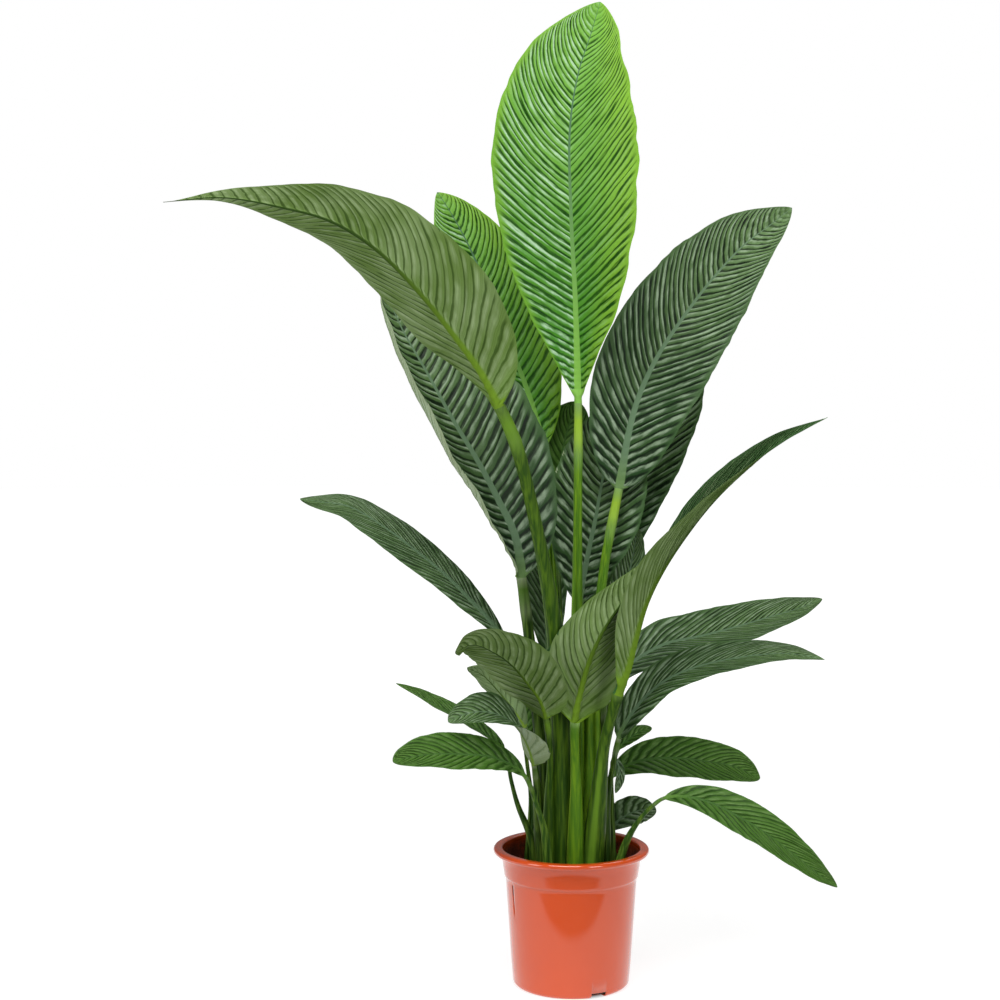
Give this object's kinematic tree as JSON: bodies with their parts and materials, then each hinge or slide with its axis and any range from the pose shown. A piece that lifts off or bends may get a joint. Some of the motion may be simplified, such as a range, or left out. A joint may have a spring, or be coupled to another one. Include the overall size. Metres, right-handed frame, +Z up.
{
  "type": "potted peace lily",
  "caption": "Tall leafy peace lily with long-stalked, deeply ribbed leaves, growing in soil in a round plastic nursery pot.",
  "frame": {"origin": "centre of the pot's flat underside", "axes": "+Z up along the pot's axis, -Y is the plant's front, +X is to the right seen from the front"},
  "size_m": [0.8626, 0.6816, 1.3462],
  "materials": {
    "pot_plastic": "smooth, slightly glossy moulded plastic",
    "soil": "crumbly dark peat potting soil",
    "leaf_bright": "satin young leaf",
    "leaf_mid": "satin leaf",
    "leaf_dark": "satin mature leaf",
    "leaf_underside": "matt leaf seen from beneath"
  },
  "bodies": {
    "root": {"nursery_pot": "pot_plastic", "potting_soil": "soil", "leaf_top_centre": "leaf_bright", "leaf_left_arching": "leaf_underside", "leaf_back_bright": "leaf_bright", "leaf_left_dark": "leaf_dark", "leaf_right_big": "leaf_dark", "leaf_right_behind": "leaf_dark", "leaf_centre_dark": "leaf_dark", "leaf_back_small": "leaf_mid", "leaf_right_back_low": "leaf_dark", "leaf_front_lobed": "leaf_underside", "leaf_right_long": "leaf_underside", "leaf_left_mid": "leaf_dark", "leaf_left_front": "leaf_underside", "leaf_left_grey": "leaf_mid", "leaf_left_blue": "leaf_dark", "leaf_left_thin": "leaf_mid", "leaf_left_low": "leaf_mid", "leaf_left_stub": "leaf_mid", "leaf_right_upper": "leaf_dark", "leaf_right_second": "leaf_dark", "leaf_right_small": "leaf_mid", "leaf_right_low": "leaf_mid", "leaf_right_arching": "leaf_mid", "leaf_right_dark": "leaf_dark", "leaf_right_curled": "leaf_dark", "leaf_rear_left": "leaf_dark", "leaf_rear_right": "leaf_mid", "leaf_rear_low": "leaf_mid"}
  },
  "joints": []
}
